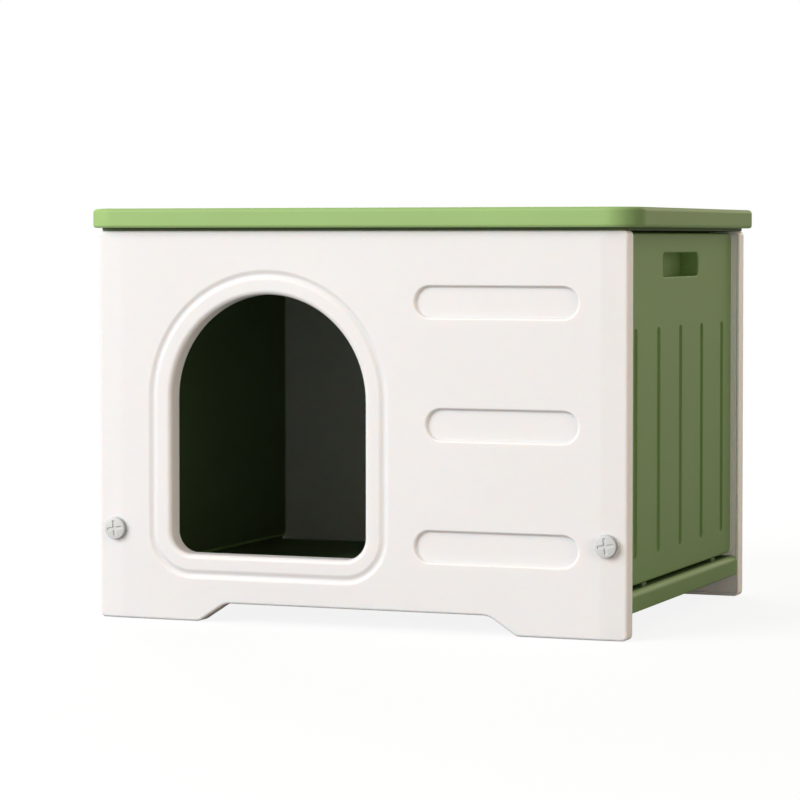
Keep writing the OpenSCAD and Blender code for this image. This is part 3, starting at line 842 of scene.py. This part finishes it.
def studio_floor(radius, solid, albedo, glow, bounce):
    """Pale disc that fades into the white background. The camera sees it bright and with faint
    shadows; the light that it throws back on the house is that of a darker floor."""
    mat = bpy.data.materials.new("studio_floor")
    mat.use_nodes = True
    nodes, links = mat.node_tree.nodes, mat.node_tree.links
    nodes.clear()
    seen, lit = nodes.new("ShaderNodeBsdfDiffuse"), nodes.new("ShaderNodeEmission")
    seen.inputs["Color"].default_value = (albedo, albedo, albedo, 1)
    lit.inputs["Strength"].default_value = glow
    bright = nodes.new("ShaderNodeAddShader")
    links.new(seen.outputs[0], bright.inputs[0])
    links.new(lit.outputs[0], bright.inputs[1])
    dim = nodes.new("ShaderNodeBsdfDiffuse")
    dim.inputs["Color"].default_value = (bounce, bounce, bounce, 1)
    either = camera_sees(bright, dim, nodes, links)
    place = nodes.new("ShaderNodeTexCoord")
    length = nodes.new("ShaderNodeVectorMath")
    length.operation = "LENGTH"
    links.new(place.outputs["Object"], length.inputs[0])
    fade = nodes.new("ShaderNodeMapRange")
    fade.interpolation_type = "SMOOTHSTEP"
    fade.inputs["From Min"].default_value = solid
    fade.inputs["From Max"].default_value = radius
    links.new(length.outputs["Value"], fade.inputs["Value"])
    clear, whole = nodes.new("ShaderNodeBsdfTransparent"), nodes.new("ShaderNodeMixShader")
    links.new(fade.outputs["Result"], whole.inputs["Fac"])
    links.new(either.outputs[0], whole.inputs[1])
    links.new(clear.outputs[0], whole.inputs[2])
    links.new(whole.outputs[0], nodes.new("ShaderNodeOutputMaterial").inputs["Surface"])
    bpy.ops.mesh.primitive_circle_add(
        vertices=96, radius=radius, fill_type="NGON", location=(0, 0, -FLOOR_DROP)
    )
    ground = bpy.context.object
    ground.name = "studio_floor"
    ground.data.materials.append(mat)


def softbox(name, place, size, power, colour):
    """Square area light; size is its side in metres and power is in watts."""
    light = bpy.data.lights.new(name, "AREA")
    light.shape = "RECTANGLE"
    light.size = light.size_y = size
    light.energy = power
    light.color = colour
    obj = bpy.data.objects.new(name, light)
    obj.location = place
    obj.rotation_mode = "QUATERNION"
    obj.rotation_quaternion = (AIM - Vector(place)).to_track_quat("-Z", "Y")
    scene.collection.objects.link(obj)
    return obj


def white_world(ambient, colour):
    """White where the camera looks past the house, and dim as a source of light."""
    world = bpy.data.worlds.new("studio")
    world.use_nodes = True
    nodes, links = world.node_tree.nodes, world.node_tree.links
    seen = nodes["Background"]
    seen.inputs["Color"].default_value = (1, 1, 1, 1)
    dim = nodes.new("ShaderNodeBackground")
    dim.inputs["Color"].default_value = (*colour, 1)
    dim.inputs["Strength"].default_value = ambient
    either = camera_sees(seen, dim, nodes, links)
    links.new(either.outputs[0], nodes["World Output"].inputs["Surface"])
    scene.world = world


def receivers(name, state):
    """What a light falls on: the roof alone (INCLUDE), or everything but the roof (EXCLUDE)."""
    found = bpy.data.collections.new(name + "_receivers")
    for obj in scene.objects:
        if obj.name.startswith("roof_cover"):
            found.objects.link(obj)
    for entry in found.collection_objects:
        entry.light_linking.link_state = state
    return found


NEAR_WHITE, PALE_YELLOW = (0.99, 1.0, 1.02), (1.0, 0.94, 0.66)
PALE_ORANGE, WARM_WHITE = (1.0, 0.86, 0.72), (1.0, 0.94, 0.82)

# The roof's flat top would mirror the two big softboxes in views from low angles. So they light
# the roof through copies that share their light: one makes sheen as usual, and one makes none.
SHEEN_SHARE, BODY_SHARE = 0.4, 0.7

studio_floor(radius=2.6, solid=0.9, albedo=0.13, glow=0.88, bounce=0.32)
softbox("fill", (1.9, 5.6, 2.2), 3.0, 42, PALE_YELLOW)
others, roof = receivers("others", "EXCLUDE"), receivers("roof", "INCLUDE")
for name, place, size, power in (
    ("key", (-5.1, -6.9, 3.95), 6.6, 1020),
    ("back", (-3.6, 5.5, 2.6), 3.6, 300),
):
    for part, share, falls_on, makes_sheen in (
        ("", 1.0, others, True),
        ("_sheen", SHEEN_SHARE, roof, True),
        ("_body", BODY_SHARE, roof, False),
    ):
        light = softbox(name + part, place, size, power * share, NEAR_WHITE)
        light.light_linking.receiver_collection = falls_on
        light.visible_glossy = makes_sheen
white_world(0.35, WARM_WHITE)

# The real white shells let light through, and it comes out again at their edges and in the
# doorway. This weak light, which falls on the white pieces only, stands in for that.
glow = softbox("glow", (5.6, -2.6, 1.6), 2.6, 150, PALE_ORANGE)
white_pieces = bpy.data.collections.new("white_pieces")
for obj in scene.objects:
    if obj.type == "MESH" and WHITE in obj.data.materials[:]:
        white_pieces.objects.link(obj)
glow.light_linking.receiver_collection = white_pieces

scene.view_settings.view_transform = "Standard"
scene.view_settings.look = "None"

# The photo's view: a long lens, 2 degrees down, with its frame shifted instead of tilted further.
YAW, PITCH = -0.3711, math.radians(2.0)
cam_data = bpy.data.cameras.new("camera")
cam_data.sensor_width = 36.0
cam_data.lens = 140.02
cam_data.shift_y = -0.0663
cam_data.clip_end = 100
camera = bpy.data.objects.new("camera", cam_data)
camera.location = (1.1506, -3.0468, 0.3849)
level = math.cos(PITCH)
ahead = Vector((math.sin(YAW) * level, math.cos(YAW) * level, -math.sin(PITCH)))
camera.rotation_mode = "QUATERNION"
camera.rotation_quaternion = ahead.to_track_quat("-Z", "Y")
scene.collection.objects.link(camera)
scene.camera = camera

bpy.context.view_layer.update()
